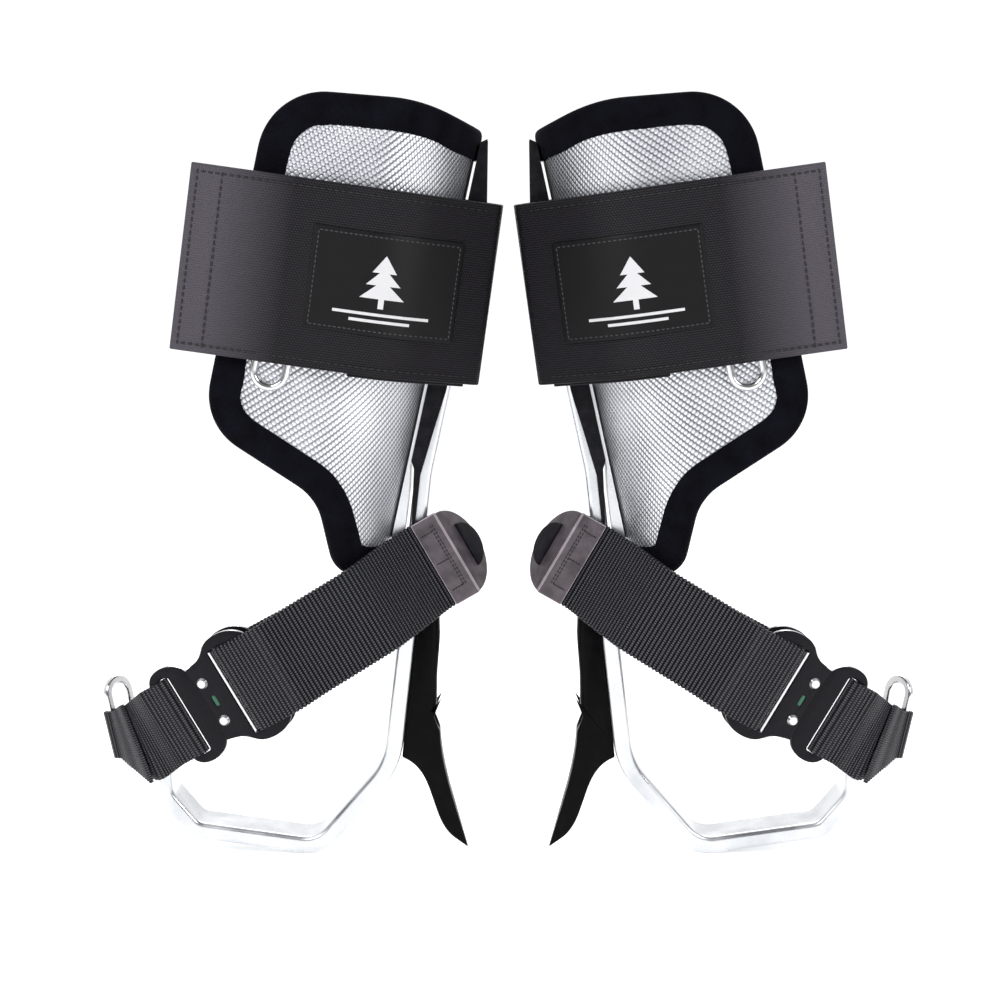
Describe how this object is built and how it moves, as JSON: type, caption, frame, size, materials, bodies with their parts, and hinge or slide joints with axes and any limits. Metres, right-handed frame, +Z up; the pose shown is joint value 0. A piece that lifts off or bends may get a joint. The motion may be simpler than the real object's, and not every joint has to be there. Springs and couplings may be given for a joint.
{
  "type": "tree climbing spurs",
  "caption": "Pair of arborist leg spurs: bent stirrup shank, steel gaff, sliding padded cuff with wide closing strap, and a buckled ankle strap.",
  "frame": {"origin": "on the ground, centred between the two spurs and in depth", "axes": "+Z up, +X across the pair towards the right spur, -Y is the front of the shins"},
  "size_m": [0.4488, 0.1306, 0.4167],
  "materials": {
    "bar_aluminium": "bead-blasted and clear anodised flat bar",
    "eye_steel": "black coated steel with bright worn edges",
    "rivet_steel": "domed bright steel rivets",
    "gaff_steel": "black satin powder coat on forged steel",
    "screw_steel": "zinc plated socket screws",
    "chape_leather": "dark brown-grey leather, sewn",
    "cap_coated": "dark coated steel clamp cap",
    "ankle_webbing": "black ribbed polyester webbing, slightly glossy",
    "buckle_anodised": "black anodised plate, bright bevelled edges",
    "ring_steel": "nickel plated steel wire",
    "bracket_coated": "dark grey powder coat",
    "shell_weave": "silver woven glass composite under clear resin",
    "liner_fabric": "blue-black brushed velour over foam",
    "binding_velvet": "blue-black velvet edge binding",
    "upper_webbing": "dark grey finely ribbed nylon",
    "clip_steel": "stainless release clips"
  },
  "bodies": {
    "left_frame": {"left_shank": "bar_aluminium", "left_strap_eye": "eye_steel", "left_eye_rivets": "rivet_steel", "left_gaff": "gaff_steel", "left_gaff_screws": "screw_steel", "left_strap_lug": "bar_aluminium", "left_lug_screws": "screw_steel", "left_chape": "chape_leather", "left_chape_cap": "cap_coated", "left_ankle_strap": "ankle_webbing", "left_buckle_plate": "buckle_anodised", "left_buckle_back_plate": "buckle_anodised", "left_buckle_rivets": "rivet_steel", "left_buckle_slot_bar": "ring_steel", "left_buckle_springs": "ring_steel", "left_short_strap": "ankle_webbing"},
    "left_cuff": {"left_cuff_bracket": "bracket_coated", "left_cuff_stay": "bar_aluminium", "left_bracket_screws": "screw_steel", "left_cuff_shell": "shell_weave", "left_cuff_liner": "liner_fabric", "left_cuff_binding": "binding_velvet", "left_shell_rivets": "rivet_steel", "left_ring_keeper": "bracket_coated", "left_upper_strap_back": "upper_webbing"},
    "left_strap_flap": {"left_upper_strap_front": "upper_webbing"},
    "left_strap_ring_body": {"left_strap_ring": "ring_steel"},
    "left_clip_upper": {"left_buckle_clip_upper": "clip_steel"},
    "left_clip_lower": {"left_buckle_clip_lower": "clip_steel"},
    "left_tongue": {"left_buckle_tongue": "buckle_anodised"},
    "right_frame": {"right_shank": "bar_aluminium", "right_strap_eye": "eye_steel", "right_eye_rivets": "rivet_steel", "right_gaff": "gaff_steel", "right_gaff_screws": "screw_steel", "right_strap_lug": "bar_aluminium", "right_lug_screws": "screw_steel", "right_chape": "chape_leather", "right_chape_cap": "cap_coated", "right_ankle_strap": "ankle_webbing", "right_buckle_plate": "buckle_anodised", "right_buckle_back_plate": "buckle_anodised", "right_buckle_rivets": "rivet_steel", "right_buckle_slot_bar": "ring_steel", "right_buckle_springs": "ring_steel", "right_short_strap": "ankle_webbing"},
    "right_cuff": {"right_cuff_bracket": "bracket_coated", "right_cuff_stay": "bar_aluminium", "right_bracket_screws": "screw_steel", "right_cuff_shell": "shell_weave", "right_cuff_liner": "liner_fabric", "right_cuff_binding": "binding_velvet", "right_shell_rivets": "rivet_steel", "right_ring_keeper": "bracket_coated", "right_upper_strap_back": "upper_webbing"},
    "right_strap_flap": {"right_upper_strap_front": "upper_webbing"},
    "right_strap_ring_body": {"right_strap_ring": "ring_steel"},
    "right_clip_upper": {"right_buckle_clip_upper": "clip_steel"},
    "right_clip_lower": {"right_buckle_clip_lower": "clip_steel"},
    "right_tongue": {"right_buckle_tongue": "buckle_anodised"}
  },
  "joints": [
    {"name": "left_cuff_height", "type": "slide", "parent": "left_frame", "child": "left_cuff", "axis": [0.2164, 0, 0.9763], "range_m": [0, 0.0127]},
    {"name": "left_strap_flap_hinge", "type": "hinge", "parent": "left_cuff", "child": "left_strap_flap", "pos_m": [-0.01108, -0.01585, 0.31129], "axis": [0.1392, 0, 0.9903], "range_deg": [0, 48]},
    {"name": "left_strap_ring_swing", "type": "hinge", "parent": "left_cuff", "child": "left_strap_ring_body", "pos_m": [-0.10678, -0.04825, 0.31592], "axis": [0.2164, 0, 0.9763], "range_deg": [0, 7]},
    {"name": "left_clip_upper_press", "type": "slide", "parent": "left_frame", "child": "left_clip_upper", "axis": [0.5, 0, -0.866], "range_m": [0, 0.0025], "stiffness_N_per_m": 400, "springref_m": -0.002, "deforming": ["left_buckle_springs"]},
    {"name": "left_clip_lower_press", "type": "slide", "parent": "left_frame", "child": "left_clip_lower", "axis": [-0.5, 0, 0.866], "range_m": [0, 0.0025], "stiffness_N_per_m": 400, "springref_m": -0.002, "deforming": ["left_buckle_springs"]},
    {"name": "left_tongue_draw", "type": "slide", "parent": "left_frame", "child": "left_tongue", "axis": [-0.8403, 0.2419, -0.4851], "range_m": [0, 0.012], "deforming": ["left_short_strap"]},
    {"name": "right_cuff_height", "type": "slide", "parent": "right_frame", "child": "right_cuff", "axis": [-0.2164, 0, 0.9763], "range_m": [0, 0.0127]},
    {"name": "right_strap_flap_hinge", "type": "hinge", "parent": "right_cuff", "child": "right_strap_flap", "pos_m": [0.01108, -0.01585, 0.31129], "axis": [0.1392, 0, -0.9903], "range_deg": [0, 48]},
    {"name": "right_strap_ring_swing", "type": "hinge", "parent": "right_cuff", "child": "right_strap_ring_body", "pos_m": [0.10678, -0.04825, 0.31592], "axis": [0.2164, 0, -0.9763], "range_deg": [0, 7]},
    {"name": "right_clip_upper_press", "type": "slide", "parent": "right_frame", "child": "right_clip_upper", "axis": [-0.5, 0, -0.866], "range_m": [0, 0.0025], "stiffness_N_per_m": 400, "springref_m": -0.002, "deforming": ["right_buckle_springs"]},
    {"name": "right_clip_lower_press", "type": "slide", "parent": "right_frame", "child": "right_clip_lower", "axis": [0.5, 0, 0.866], "range_m": [0, 0.0025], "stiffness_N_per_m": 400, "springref_m": -0.002, "deforming": ["right_buckle_springs"]},
    {"name": "right_tongue_draw", "type": "slide", "parent": "right_frame", "child": "right_tongue", "axis": [0.8403, 0.2419, -0.4851], "range_m": [0, 0.012], "deforming": ["right_short_strap"]},
    {"name": "pair_spacing", "type": "slide", "parent": "left_frame", "child": "right_frame", "axis": [1, 0, 0], "range_m": [0, 0.15]}
  ]
}
